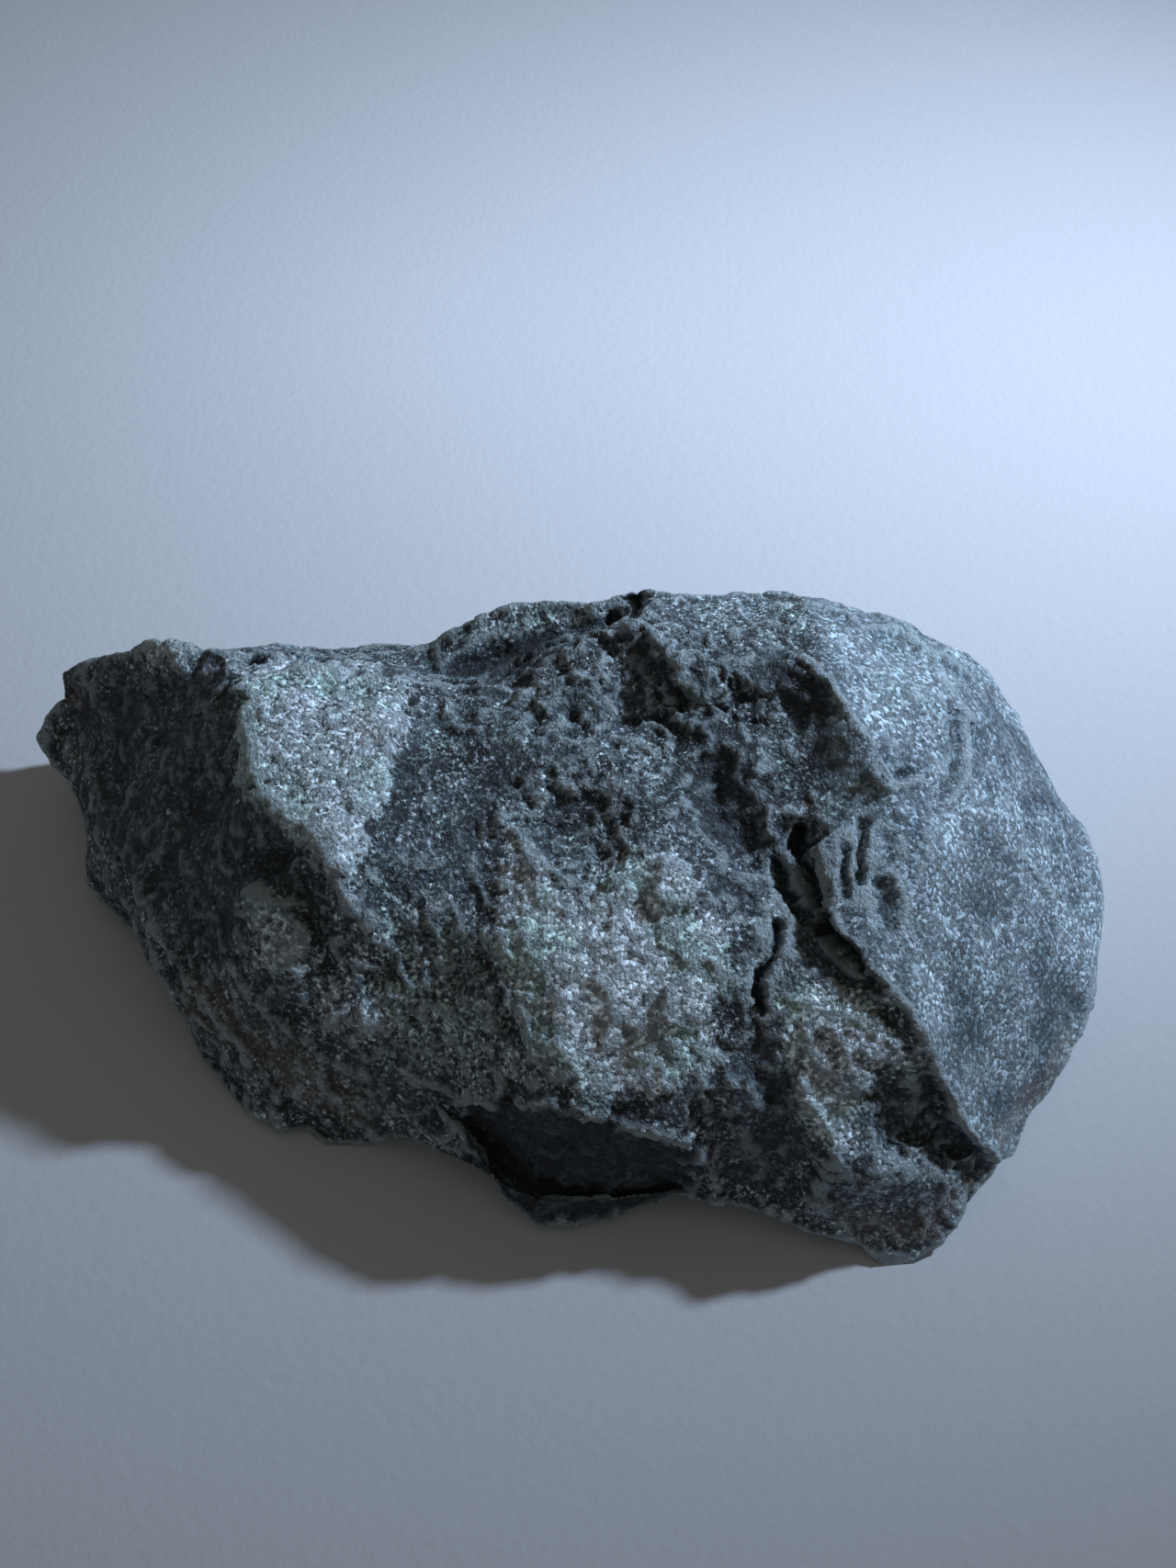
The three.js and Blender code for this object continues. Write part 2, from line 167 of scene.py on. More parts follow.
# Outlined areas: their corners, how pale (or dark, below zero) and how far raised or sunk in mm. The
# darkening is painted shade in the crevice by the back block, the front hollow, the block side, the
# break, the gully, the recesses, the front block, the pocket, the slots and the left face, and the
# stone's own darker tone in the mottles, the right rim and low on the right face.
areas = {
    "left facet": (
        [(262, 735), (258, 790), (262, 850), (290, 885), (335, 922), (365, 955), (385, 988),
         (378, 955), (386, 936), (398, 905), (399, 893), (415, 884), (422, 866), (424, 830),
         (440, 790), (446, 745), (380, 725), (300, 712)], 0.95, 0.5),
    "bruise in the middle": (
        [(548, 893), (575, 925), (622, 962), (655, 925), (700, 918), (745, 935), (768, 975),
         (800, 1000), (805, 1060), (785, 1110), (792, 1150), (740, 1190), (660, 1198), (600, 1180),
         (555, 1120), (530, 1040), (535, 960)], 1.2, 0),
    "heart of the bruise": (
        [(560, 905), (600, 950), (640, 1000), (700, 1010), (755, 960), (770, 1000), (720, 1090),
         (690, 1160), (630, 1150), (590, 1060), (560, 980)], 1.7, 0),
    "plate": (
        [(707, 927), (734, 929), (758, 946), (760, 964), (755, 982), (744, 992), (725, 1010),
         (716, 1008), (707, 990), (715, 960)], 1.3, 0.5),
    "streaks by the crest": (
        [(880, 1060), (940, 1075), (985, 1120), (1010, 1190), (960, 1170), (930, 1260), (880, 1250),
         (850, 1160), (840, 1090)], 1.2, 0),
    "right face": (
        [(935, 930), (1010, 880), (1100, 880), (1180, 950), (1190, 1060), (1120, 1200),
         (1088, 1262), (1050, 1215), (1010, 1118), (960, 1050), (910, 990)], 0.2, 0),
    "upper plate": (
        [(885, 705), (960, 700), (1020, 740), (1040, 800), (1020, 850), (970, 830),
         (935, 780)], 0.6, 0),
    "back rim": (
        [(500, 668), (620, 648), (720, 634), (850, 640), (980, 670), (1050, 705), (1075, 730),
         (1000, 715), (880, 700), (780, 690), (700, 650), (560, 690)], 0.4, 0),
    "face of the back block": (
        [(490, 692), (520, 672), (600, 655), (680, 640), (690, 655), (640, 675), (580, 698),
         (500, 724)], 0.5, 0),
    "crevice by the back block": (
        [(485, 730), (520, 716), (560, 700), (600, 688), (657, 674), (642, 692), (600, 708),
         (568, 737), (552, 744), (510, 745)], -1.8, 0),
    "facet by the left corner": (
        [(150, 706), (165, 694), (200, 693), (216, 704), (195, 722), (165, 723)], 0.9, 0.2),
    "bright chip on the left": (
        [(268, 985), (290, 978), (318, 1000), (345, 1040), (330, 1070), (300, 1060),
         (278, 1030)], 0.8, 0.2),
    "low on the left": (
        [(400, 990), (470, 960), (530, 990), (555, 1110), (600, 1185), (500, 1192), (420, 1160),
         (340, 1130), (330, 1080)], 0.45, 0),
    "front hollow": (
        [(500, 1203), (600, 1208), (690, 1234), (745, 1250), (752, 1285), (735, 1305), (650, 1322),
         (585, 1335), (545, 1312), (520, 1265)], -1.1, -0.45),
    "block side": (
        [(827, 707), (853, 705), (873, 720), (897, 750), (923, 783), (953, 820), (967, 847),
         (960, 863), (933, 847), (907, 840), (880, 813), (853, 780), (840, 753),
         (827, 730)], -1.1, 0),
    "break below the back rim": (
        [(647, 713), (693, 673), (720, 693), (733, 727), (767, 723), (793, 727), (780, 760),
         (753, 793), (727, 773), (703, 743), (673, 723)], -0.6, 0),
    "gully": (
        [(753, 793), (780, 760), (800, 773), (820, 820), (847, 867), (827, 893), (845, 935),
         (800, 935), (762, 900), (753, 853)], -0.55, -0.3),
    "right recesses": (
        [(955, 1180), (985, 1185), (1010, 1180), (1035, 1215), (1075, 1255), (1085, 1275),
         (1060, 1290), (1030, 1265), (1000, 1255), (970, 1240), (950, 1215)], -0.4, -0.4),
    "front block": (
        [(792, 1150), (830, 1142), (868, 1180), (878, 1230), (860, 1290), (800, 1300),
         (785, 1230)], -0.6, 0),
    "pocket": (
        [(878, 985), (905, 990), (925, 1018), (950, 1045), (965, 1070), (930, 1056), (900, 1036),
         (882, 1012)], -1.6, 0),
    "slots above the pocket": (
        [(838, 905), (872, 895), (888, 955), (893, 992), (872, 988), (850, 952)], -0.6, 0),
    "mottle by the arc": (
        [(1038, 895), (1100, 885), (1115, 960), (1090, 1015), (1045, 990)], -0.8, 0),
    "mottle at the right edge": (
        [(1125, 1052), (1190, 1055), (1175, 1130), (1118, 1142)], -0.8, 0),
    "mottle low on the right": (
        [(1095, 1180), (1165, 1120), (1155, 1190), (1110, 1245)], -0.9, 0),
    "low on the right face": (
        [(1055, 1085), (1120, 1060), (1190, 1050), (1170, 1130), (1120, 1205), (1088, 1262),
         (1050, 1215), (1020, 1130)], -0.5, 0),
    "right rim": (
        [(1055, 725), (1090, 755), (1135, 830), (1170, 900), (1120, 885), (1080, 810)], -0.8, 0),
    "left face": (
        [(75, 745), (250, 715), (262, 860), (370, 985), (350, 1000), (280, 960), (270, 1060),
         (200, 1030), (130, 960), (90, 880)], -0.5, 0),
}

# Brownish stains: their line and reach in mm.
stains = {
    "on the left facet": ([(398, 780), (403, 808)], 1.6),
    "low in the bruise": ([(660, 1120), (680, 1158)], 1.8),
    "left tip": ([(68, 738), (82, 760)], 1.8),
    "lower left ledges": ([(215, 1090), (300, 1150), (380, 1200)], 3.0),
    "low on the right": ([(1090, 1235), (1130, 1190), (1160, 1140)], 1.6),
    "front foot": ([(930, 1330), (1000, 1345), (1040, 1300)], 1.8),
}


def refined(points, triangles):
    """Every edge longer than allowed is halved, in a few rounds: the side that faces the camera gets
    the finest edges, and the flat underside long ones. A triangle with one, two or three halved edges
    becomes two, three or four."""
    for _ in range(halving_rounds):
        sides = triangles[:, [[0, 1], [1, 2], [2, 0]]].reshape(-1, 2)
        keys = sides.min(axis=1) * len(points) + sides.max(axis=1)
        keys, side_edge = np.unique(keys, return_inverse=True)
        ends = np.stack([keys // len(points), keys % len(points)], axis=1)
        lengths = np.linalg.norm(points[ends[:, 0]] - points[ends[:, 1]], axis=1)
        seen = (normals_of(points, triangles) @ to_camera)[ends].max(axis=1) > 0
        flat = (points[ends, 2] < flat_height).all(axis=1)
        allowed = np.where(seen, longest_seen_edge, longest_hidden_edge)
        halved = lengths > np.where(flat, longest_flat_edge, allowed)
        new_point = np.full(len(keys), -1)
        new_point[halved] = len(points) + np.arange(halved.sum())
        points = np.vstack([points, points[ends[halved]].mean(axis=1)])
        middles = new_point[side_edge].reshape(-1, 3)
        split = middles >= 0
        count = split.sum(axis=1)
        # Each triangle is turned so that its only halved side, or its only whole one, comes first.
        first = np.where(count == 2, np.argmin(split, axis=1), np.argmax(split, axis=1))
        turn = (first[:, None] + np.arange(3)) % 3
        a, b, c = np.take_along_axis(triangles, turn, axis=1).T
        ab, bc, ca = np.take_along_axis(middles, turn, axis=1).T
        pieces = [triangles[count == 0]]
        for kind, rows in (
            (1, ((a, ab, c), (ab, b, c))),
            (2, ((a, b, bc), (a, bc, ca), (ca, bc, c))),
            (3, ((a, ab, ca), (ab, b, bc), (ca, bc, c), (ab, bc, ca))),
        ):
            pieces += [np.stack(row, axis=1)[count == kind] for row in rows]
        triangles = np.vstack(pieces)
    return points, triangles


def vertex_sum(triangles, values, size):
    """Each triangle's row of values added up at its three corners."""
    return np.stack([
        sum(np.bincount(triangles[:, corner], weights=column, minlength=size) for corner in range(3))
        for column in values.T
    ], axis=1)


def averaged(triangles, values, passes):
    """The values moved to the average of each corner's triangles, as many times as passes say."""
    size = len(values)
    share = vertex_sum(triangles, np.ones((len(triangles), 1)), size)
    for _ in range(passes):
        values = vertex_sum(triangles, values[triangles].mean(axis=1), size) / share
    return values


def normals_of(points, triangles):
    """The outward direction at each point: its triangles' cross products added up, length one."""
    a, b, c = points[triangles[:, 0]], points[triangles[:, 1]], points[triangles[:, 2]]
    total = vertex_sum(triangles, np.cross(b - a, c - a), len(points))
    return total / np.linalg.norm(total, axis=1, keepdims=True)


def smoothstep(low, high, values):
    """0 below low, 1 above high, and 3t^2 - 2t^3 between."""
    t = np.clip((values - low) / (high - low), 0, 1)
    return t * t * (3 - 2 * t)


# Every random value comes from these tables. A cell of space finds its row by large primes.
table_length = 4096
cell_primes = np.array([73856093, 19349663, 83492791])
seed_prime = 668265263
noise_gain = 1.6
random = np.random.default_rng(52)
random_directions = random.normal(size=(table_length, 3))
random_directions /= np.linalg.norm(random_directions, axis=1, keepdims=True)
random_places = random.random((table_length, 3))


def table_rows(cells, seed):
    """A row of the random tables for each whole-numbered cell of space."""
    blended = cells @ cell_primes + seed * seed_prime
    return (blended ^ (blended >> 13)) % table_length


def noise(points, size, seed):
    """Smooth hills and dips about size mm across, between about -1 and 1: each cell corner has a
    random slope, and the eight slopes round a point are blended with 6t^5 - 15t^4 + 10t^3."""
    place = points / size
    cells = np.floor(place).astype(np.int64)
    within = place - cells
    blend = within ** 3 * (within * (within * 6 - 15) + 10)
    total = np.zeros(len(points))
    for corner in itertools.product((0, 1), repeat=3):
        slope = random_directions[table_rows(cells + corner, seed)]
        weight = np.where(corner, blend, 1 - blend).prod(axis=1)
        total += weight * ((within - corner) * slope).sum(axis=1)
    return noise_gain * total


def chips(points, size, seed):
    """Broken facets about size mm across: each point belongs to the nearest of the scattered
    centres, and rises or falls along that centre's own tilt by its distance from the centre."""
    place = points / size
    cells = np.floor(place).astype(np.int64)
    nearest = np.full(len(points), np.inf)
    height = np.zeros(len(points))
    for offset in itertools.product((-1, 0, 1), repeat=3):
        rows = table_rows(cells + offset, seed)
        away = place - (cells + offset + random_places[rows])
        distance = (away ** 2).sum(axis=1)
        closer = distance < nearest
        nearest = np.where(closer, distance, nearest)
        height = np.where(closer, (away * random_directions[rows]).sum(axis=1), height)
    return height


def on_stone(marks):
    """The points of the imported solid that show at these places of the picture, in mm."""
    found = []
    for across, down in marks:
        right, up = (np.array([across, -down]) - picture_size / 2 * [1, -1]) / picture_focal
        ray = Vector(np.array([right, 0, 0]) + up * picture_up - to_camera)
        found.append(solid_tree.ray_cast(Vector(camera_place), ray)[0])
    return np.array(found) / mm


def in_picture(points):
    """Where points in mm show in the picture, in pixels across and down."""
    away = points * mm - camera_place
    scale = picture_focal / (away @ -to_camera)
    return picture_size / 2 + np.stack([away[:, 0] * scale, -(away @ picture_up) * scale], axis=1)


def inside(outline, places):
    """How far each place lies inside a closed outline, in the same units, and negative outside it."""
    corners = np.array(outline, float)
    within = np.zeros(len(places), bool)
    for (x0, y0), (x1, y1) in zip(corners, np.roll(corners, -1, axis=0)):
        level = (y0 > places[:, 1]) != (y1 > places[:, 1])
        crossing = x0 + (x1 - x0) * (places[:, 1] - y0) / (y1 - y0 if y1 != y0 else 1)
        within ^= level & (places[:, 0] < crossing)
    distance = distance_to(np.vstack([corners, corners[:1]]), places)
    return np.where(within, distance, -distance)


def distance_to(line, points):
    """Each point's distance from a line of straight pieces, in mm."""
    nearest = np.full(len(points), np.inf)
    for start, end in zip(line[:-1], line[1:]):
        along = end - start
        share = np.clip((points - start) @ along / (along @ along), 0, 1)
        nearest = np.minimum(nearest, np.linalg.norm(points - start - share[:, None] * along, axis=1))
    return nearest


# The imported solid's mesh, with the corners that several of its triangles share made one.
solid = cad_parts["stone"].data
solid_corners = np.empty(len(solid.vertices) * 3, np.float32)
solid.vertices.foreach_get("co", solid_corners)
solid_corners = solid_corners.reshape(-1, 3).astype(float)
loops = np.empty(len(solid.loops), np.int32)
solid.loops.foreach_get("vertex_index", loops)
_, first_use, merged = np.unique(
    np.round(solid_corners / mm, 3), axis=0, return_index=True, return_inverse=True)
solid_points = solid_corners[first_use]
solid_triangles = merged.reshape(-1)[loops].reshape(-1, 3)
solid_tree = BVHTree.FromPolygons(solid_points.tolist(), solid_triangles.tolist())

# Close to the paper nothing is moved, so that the stone keeps its flat foot.
still_height, free_height = 0.1, 1.6
points, triangles = refined(solid_points / mm, solid_triangles)
above_floor = smoothstep(still_height, free_height, points[:, 2])
points += (averaged(triangles, points, rounding_passes) - points) * above_floor[:, None]

# How rough the break is: 1 where it is fully broken, and less on the smooth face past the crest,
# except at the ragged rim where that face turns away.
crest_border = (-0.5, 2.5)
smooth_face_loss = 0.7
rim_turn = (0.1, 0.45)
rim_roughness = 0.75
facing_turn = (0.05, 0.3)
crest = on_stone(smooth_face_start)
order = np.argsort(crest[:, 1])
past_crest = points[:, 0] - np.interp(points[:, 1], crest[order, 1], crest[order, 0])
broken = 1 - smooth_face_loss * smoothstep(*crest_border, past_crest)
normals = averaged(triangles, normals_of(points, triangles), direction_passes)
to_viewer = normals @ to_camera
facing = smoothstep(*facing_turn, to_viewer)
roughness = np.maximum(broken, rim_roughness * (1 - smoothstep(*rim_turn, to_viewer)))

# The mass splits along one direction, so its chips and streaks are longer that way.
grain_direction = np.array([0.42, -0.72, -0.55])
grain_direction /= np.linalg.norm(grain_direction)
grain_squeeze = 0.35
grain = points - grain_squeeze * (points @ grain_direction)[:, None] * grain_direction

# The waves and chips of the break: the pattern, the places that it is read at, its size across and
# its height in mm, and its seed. The broad waves also cross the smooth face, at nearly half height.
break_patterns = (
    (noise, points, 2.6, 0.16, 2),
    (chips, points, 4.2, 0.3, 3),
    (chips, grain, 1.8, 0.26, 4),
    (noise, points, 1.1, 0.16, 5),
)
broad_wave_size, broad_wave_height = 6.5, 0.42
smooth_face_share = 0.45
relief = roughness * sum(
    height * pattern(places, size, seed) for pattern, places, size, height, seed in break_patterns)
relief += ((smooth_face_share + (1 - smooth_face_share) * roughness)
           * broad_wave_height * noise(points, broad_wave_size, seed=1))

# The evenly broken faces lose part of it, from 1 mm outside their outlines to 3 mm inside.
even_loss = 0.6
even_border = (-1, 3)
pixels_per_mm = picture_focal * mm / camera_distance
seen_at = in_picture(points)
for outline in even_faces.values():
    evenness = smoothstep(*even_border, inside(outline, seen_at) / pixels_per_mm)
    relief *= 1 - even_loss * facing * evenness

# Ribs, cuts and pits: each starts to rise or fall a little over one half width from its line, and
# its sides wander by the same measure. The walls of cuts are steeper.
soft_start = 1.2
cut_start, cut_steepness = 1.1, 1.5
wander = 0.8 * chips(points, 1.7, seed=7) + 0.5 * noise(points, 1.3, seed=8)
raised = np.zeros(len(points))
for marks, half_width, height in ribs.values():
    reach = distance_to(on_stone(marks), points) / half_width + wander
    raised = np.maximum(raised, height * np.clip(soft_start - reach, 0, 1))
depth = np.zeros(len(points))
for marks, half_width, deep in cuts.values():
    reach = distance_to(on_stone(marks), points) / half_width + wander
    depth = np.maximum(depth, deep * np.clip(cut_steepness * (cut_start - reach), 0, 1))
for marks, radius, deep in pits.values():
    reach = distance_to(on_stone(marks), points) / radius + wander
    depth = np.maximum(depth, deep * np.clip(soft_start - reach, 0, 1))

# Areas: their tone fades in across the outline, quickly where they also have a step. Distances from
# the outline are in mm, and the outline itself is ragged by about 1 mm.
fade_start, soft_fade_end, sharp_fade_end = -0.6, 2.2, 0.4
step_start = -0.1
ragged = 0.9 * noise(points, 2.6, seed=11) + 1.0 * chips(points, 1.3, seed=12)
pale = np.zeros(len(points))
# The dark share is painted shade on recesses and shaded faces, and the stone's own darker tone on the
# mottles.
dark = np.zeros(len(points))
for outline, paleness, height in areas.values():
    reach = inside(outline, seen_at) / pixels_per_mm + ragged
    share = facing * smoothstep(fade_start, sharp_fade_end if height else soft_fade_end, reach)
    pale = np.maximum(pale, paleness * share)
    dark = np.maximum(dark, -paleness * share)
    step = facing * smoothstep(step_start, sharp_fade_end, reach)
    raised = np.maximum(raised, height * step)
    depth = np.maximum(depth, -height * step)
points += normals * ((relief + raised - depth) * above_floor)[:, None]
lowest, highest = (np.array(corner) / mm for corner in cad_box)
points = np.clip(points, lowest, highest)

# How far each point stands out of its surroundings in mm, and between which heights it is worn pale as
# an edge, or darkened as a crevice, which is painted shade.
worn_rise = (0.02, 0.13)
fine_fall = (0.02, 0.2)
broad_fall = (0.1, 0.9)
fine_crevice_shade_share = 0.6
wear_lost_in_dark = 0.8
normals = normals_of(points, triangles)
fine_rise = ((points - averaged(triangles, points, fine_passes)) * normals).sum(axis=1)
broad_rise = ((points - averaged(triangles, points, broad_passes)) * normals).sum(axis=1)
worn_edge = smoothstep(*worn_rise, fine_rise) * (1 - wear_lost_in_dark * np.minimum(dark, 1))
# Crevices and dips are darkened here: painted shade.
crevice_shade = np.maximum(smoothstep(*broad_fall, -broad_rise),
                    smoothstep(*fine_fall, -fine_rise) * fine_crevice_shade_share)

stain_fade = (0.3, 1.3)
stain_wander = 0.5
stained = np.zeros(len(points))
for marks, spread in stains.values():
    away = distance_to(on_stone(marks), points) / spread + stain_wander * ragged
    stained = np.maximum(stained, 1 - smoothstep(*stain_fade, away))

shares_on_stone = {"worn_edge": worn_edge, "crevice_shade": crevice_shade, "pale": pale, "dark": dark,
                   "broken": broken, "stained": stained}
stone_mesh = bpy.data.meshes.new("stone_surface")
stone_mesh.from_pydata(points * mm, [], triangles)
stone_mesh.polygons.foreach_set("use_smooth", np.ones(len(triangles), bool))
for name, values in shares_on_stone.items():
    stone_mesh.attributes.new(name, "FLOAT", "POINT").data.foreach_set("value", values)
stone = bpy.data.objects.new("stone_surface", stone_mesh)
bpy.context.scene.collection.objects.link(stone)
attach(stone, "root")
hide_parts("stone")


def linear(colour):
    """The linear red, green, blue and alpha of an sRGB hex colour."""
    parts = np.array([int(colour[i:i + 2], 16) for i in (0, 2, 4)]) / 255
    return (*np.where(parts <= 0.04045, parts / 12.92, ((parts + 0.055) / 1.055) ** 2.4), 1)


def add(tree, kind, values=(), links=(), **settings):
    """A new node: its settings, its sockets' values, and the outputs linked to its sockets."""
    node = tree.nodes.new(kind)
    for name, value in settings.items():
        setattr(node, name, value)
    for socket, value in dict(values).items():
        node.inputs[socket].default_value = value
    for socket, output in dict(links).items():
        tree.links.new(output, node.inputs[socket])
    return node


# Massive pyrophyllite, broken and not polished: a fine, sugary blue-grey mass of soft flakes with
# a dull pearly lustre. Single flakes glint, some through painted glints in the colour, bruised spots
# are powdery white, and hollows and shaded faces are darkened with painted shade.
stone_material = bpy.data.materials.new("massive pyrophyllite, broken face")
stone_material.use_nodes = True
tree = stone_material.node_tree
shader = tree.nodes["Principled BSDF"]
place = add(tree, "ShaderNodeTexCoord").outputs["Object"]

# The sockets of a colour mix: its share, its two colours and its result.
factor, colour_a, colour_b, mixed = 0, 6, 7, 2

# The sizes of its patterns. Real flakes are about 0.1 mm: they and the specks are drawn coarser,
# so that a picture of the whole stone still shows them.
mottle_size = 6 * mm
tint_size = 5 * mm
patch_size = 3.2 * mm
streak_size = 0.55 * mm
streak_length = 3.2
speck_size = 0.4 * mm
flake_size = 0.34 * mm
grit_height = 0.5 * mm
flake_height = 0.12 * mm

shares = {name: add(tree, "ShaderNodeAttribute", attribute_name=name).outputs["Fac"]
          for name in shares_on_stone}
mottle = add(tree, "ShaderNodeTexNoise", {"Scale": 1 / mottle_size, "Detail": 6, "Roughness": 0.62},
             {"Vector": place})
mottle_share = add(tree, "ShaderNodeMapRange", {"From Min": 0.4, "From Max": 0.6},
                   {"Value": mottle.outputs["Fac"]})
broken_ground = add(tree, "ShaderNodeMix", {colour_a: linear("242b30"), colour_b: linear("525f67")},
                    {factor: mottle_share.outputs[0]}, data_type="RGBA")
smooth_ground = add(tree, "ShaderNodeMix", {colour_a: linear("586b75"), colour_b: linear("9fb1ba")},
                    {factor: mottle_share.outputs[0]}, data_type="RGBA")
broken_share = add(tree, "ShaderNodeMapRange", {"From Min": 0.3, "From Max": 1.0},
                   {"Value": shares["broken"]})
ground = add(tree, "ShaderNodeMix",
             links={factor: broken_share.outputs[0], colour_a: smooth_ground.outputs[mixed],
                    colour_b: broken_ground.outputs[mixed]}, data_type="RGBA")

# Pale grains: many where the stone is bruised, few where it is dark, and drawn out along the grain.
grain_turn = Vector(grain_direction).to_track_quat("X", "Z").to_euler()
along_grain = add(tree, "ShaderNodeMapping",
                  {"Rotation": grain_turn, "Scale": (streak_length, 1, 1)},
                  {"Vector": place}, vector_type="TEXTURE")
streaks = add(tree, "ShaderNodeTexNoise", {"Scale": 1 / streak_size, "Detail": 3, "Roughness": 0.65},
              {"Vector": along_grain.outputs["Vector"]})
speckle = add(tree, "ShaderNodeTexNoise", {"Scale": 1 / speck_size, "Detail": 3, "Roughness": 0.75},
              {"Vector": place})
grains = add(tree, "ShaderNodeMath", {1: 0.45}, {0: streaks.outputs["Fac"], 2: speckle.outputs["Fac"]},
             operation="MULTIPLY_ADD")
bruised = add(tree, "ShaderNodeMath", {1: 0.2}, {0: shares["pale"], 2: grains.outputs[0]},
              operation="MULTIPLY_ADD")
sound = add(tree, "ShaderNodeMath", {1: -0.14}, {0: shares["dark"], 2: bruised.outputs[0]},
            operation="MULTIPLY_ADD")
patches = add(tree, "ShaderNodeTexNoise", {"Scale": 1 / patch_size, "Detail": 3}, {"Vector": place})
patched = add(tree, "ShaderNodeMath", {1: 0.35}, {0: patches.outputs["Fac"], 2: sound.outputs[0]},
              operation="MULTIPLY_ADD")
speckle_share = add(tree, "ShaderNodeMapRange", {"From Min": 0.915, "From Max": 1.12},
                    {"Value": patched.outputs[0]})
speckle_strength = add(tree, "ShaderNodeMapRange", {"To Min": 0.42, "To Max": 1.0},
                       {"Value": broken_share.outputs[0]})
speckle_amount = add(tree, "ShaderNodeMath",
                     links={0: speckle_share.outputs[0], 1: speckle_strength.outputs[0]},
                     operation="MULTIPLY")
tint = add(tree, "ShaderNodeTexNoise", {"Scale": 1 / tint_size, "Detail": 2}, {"Vector": place})
tint_share = add(tree, "ShaderNodeMapRange", {"From Min": 0.45, "From Max": 0.62},
                 {"Value": tint.outputs["Fac"]})
flake_colour = add(tree, "ShaderNodeMix", {colour_a: linear("d8e6ee"), colour_b: linear("c6e2e0")},
                   {factor: tint_share.outputs[0]}, data_type="RGBA")
speckled = add(tree, "ShaderNodeMix",
               links={factor: speckle_amount.outputs[0], colour_a: ground.outputs[mixed],
                      colour_b: flake_colour.outputs[mixed]}, data_type="RGBA")

# Single flakes: most are dull and a few bright; the brightest are lifted past any real colour, a
# painted glint, and a few glint through low roughness.
flakes = add(tree, "ShaderNodeTexVoronoi", {"Scale": 1 / flake_size}, {"Vector": place})
flake_random = add(tree, "ShaderNodeSeparateColor", links={"Color": flakes.outputs["Color"]})
flake_rarity = add(tree, "ShaderNodeMath", {1: 3}, {0: flake_random.outputs["Red"]}, operation="POWER")
flake_tone_and_painted_glint = add(tree, "ShaderNodeMapRange", {"To Min": 0.53, "To Max": 2.7},
                  {"Value": flake_rarity.outputs[0]})
flaked = add(tree, "ShaderNodeMix", {factor: 1.0},
             {colour_a: speckled.outputs[mixed], colour_b: flake_tone_and_painted_glint.outputs[0]},
             data_type="RGBA", blend_type="MULTIPLY")

# What lies over the ground, in turn: the share that it follows, how strongly, and its colour. The last,
# in the crevices, is painted shade.
surface = flaked.outputs[mixed]
# The dark colour paints shade on recesses and shaded faces, and the stone's darker tone on the mottles.
for name, strength, colour in (("dark", 0.52, "1d2226"), ("stained", 0.3, "8a7668"),
                               ("worn_edge", 0.7, "b4c4c9"), ("crevice_shade", 0.5, "1b2025")):
    amount = add(tree, "ShaderNodeMath", {1: strength}, {0: shares[name]}, operation="MULTIPLY",
                 use_clamp=True)
    surface = add(tree, "ShaderNodeMix", {colour_b: linear(colour)},
                  {factor: amount.outputs[0], colour_a: surface}, data_type="RGBA").outputs[mixed]
tree.links.new(surface, shader.inputs["Base Color"])

glint = add(tree, "ShaderNodeMapRange",
            {"From Min": 0.84, "From Max": 0.88, "To Min": 0.75, "To Max": 0.25},
            {"Value": flake_random.outputs["Green"]})
tree.links.new(glint.outputs[0], shader.inputs["Roughness"])
grit = add(tree, "ShaderNodeBump", {"Distance": grit_height, "Strength": 1.0},
           {"Height": grains.outputs[0]})
flake_bump = add(tree, "ShaderNodeBump", {"Distance": flake_height, "Strength": 1.0},
                 {"Height": flakes.outputs["Distance"], "Normal": grit.outputs["Normal"]}, invert=True)
tree.links.new(flake_bump.outputs["Normal"], shader.inputs["Normal"])
shader.inputs["IOR"].default_value = 1.59
stone_mesh.materials.append(stone_material)


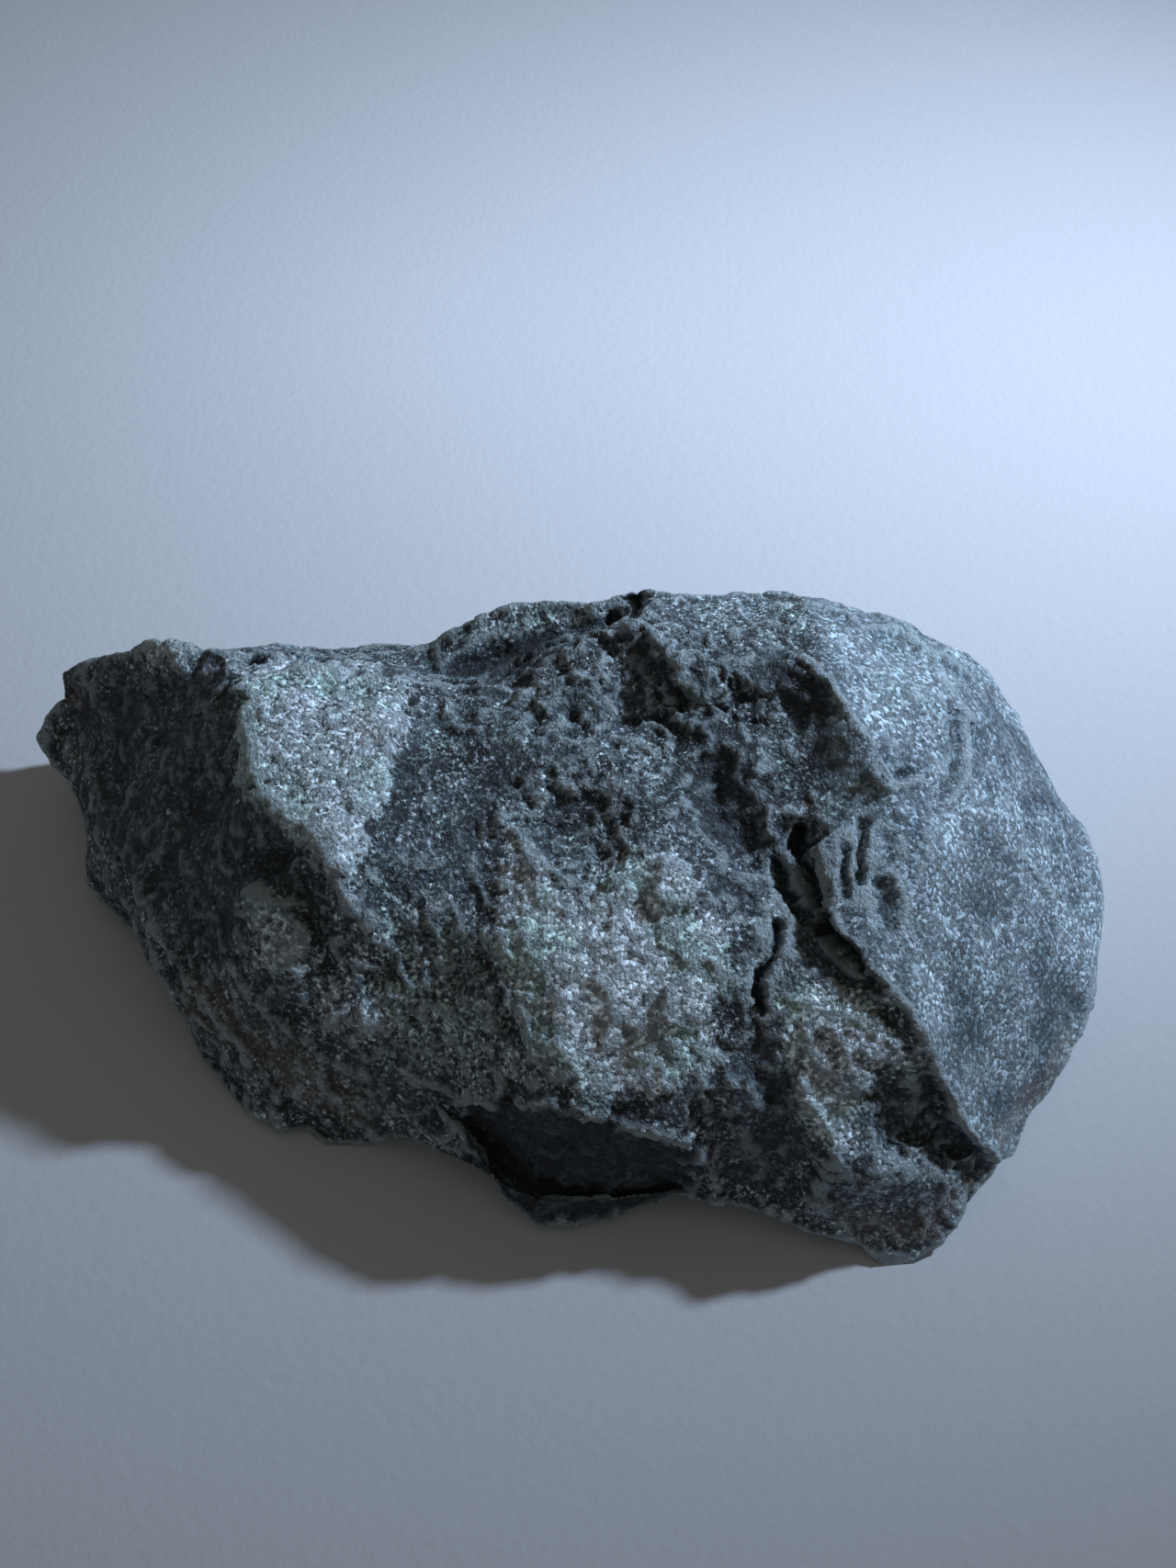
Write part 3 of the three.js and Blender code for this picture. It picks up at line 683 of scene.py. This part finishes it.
# The floor is a plain sheet of pale paper, larger than the camera sees.
# Its tooth, the fine roughness that it has from making, is about 1 mm across.
paper_size = 8.0
tooth_size = 1.1 * mm
tooth_height = 0.09 * mm
paper_mesh = bpy.data.meshes.new("paper")
half = paper_size / 2
paper_mesh.from_pydata([(-half, -half, 0), (half, -half, 0), (half, half, 0), (-half, half, 0)],
                       [], [(0, 1, 2, 3)])
paper = bpy.data.objects.new("paper", paper_mesh)
bpy.context.scene.collection.objects.link(paper)
paper_material = bpy.data.materials.new("uncoated drawing paper")
paper_material.use_nodes = True
paper_tree = paper_material.node_tree
paper_shader = paper_tree.nodes["Principled BSDF"]
paper_shader.inputs["Base Color"].default_value = linear("cdcfd2")
paper_shader.inputs["Roughness"].default_value = 0.9
place_on_paper = add(paper_tree, "ShaderNodeTexCoord").outputs["Object"]
tooth = add(paper_tree, "ShaderNodeTexNoise", {"Scale": 1 / tooth_size, "Detail": 4},
            {"Vector": place_on_paper})
tooth_bump = add(paper_tree, "ShaderNodeBump", {"Distance": tooth_height, "Strength": 0.7},
                 {"Height": tooth.outputs["Fac"]})
paper_tree.links.new(tooth_bump.outputs["Normal"], paper_shader.inputs["Normal"])
paper_mesh.materials.append(paper_material)


# One small soft lamp stands to the right, slightly behind the stone, and the room adds a dim,
# cool light from all round.
lamp_place = np.array([205, 82, 190]) * mm
lamp_target = np.array([-20, 95, 0]) * mm
lamp_data = bpy.data.lights.new("lamp", "AREA")
lamp_data.shape = "DISK"
lamp_data.size = 22 * mm
lamp_data.energy = 0.265
lamp_data.spread = math.radians(85)
lamp_data.color = linear("d0e4ff")[:3]
lamp = bpy.data.objects.new("lamp", lamp_data)
lamp.location = lamp_place
lamp.rotation_mode = "QUATERNION"
lamp.rotation_quaternion = Vector(lamp_target - lamp_place).to_track_quat("-Z", "Y")
bpy.context.scene.collection.objects.link(lamp)

room = bpy.data.worlds.new("room")
bpy.context.scene.world = room
room.use_nodes = True
room.node_tree.nodes["Background"].inputs["Color"].default_value = linear("dedcd8")
room.node_tree.nodes["Background"].inputs["Strength"].default_value = 0.16
bpy.context.scene.view_settings.view_transform = "Standard"
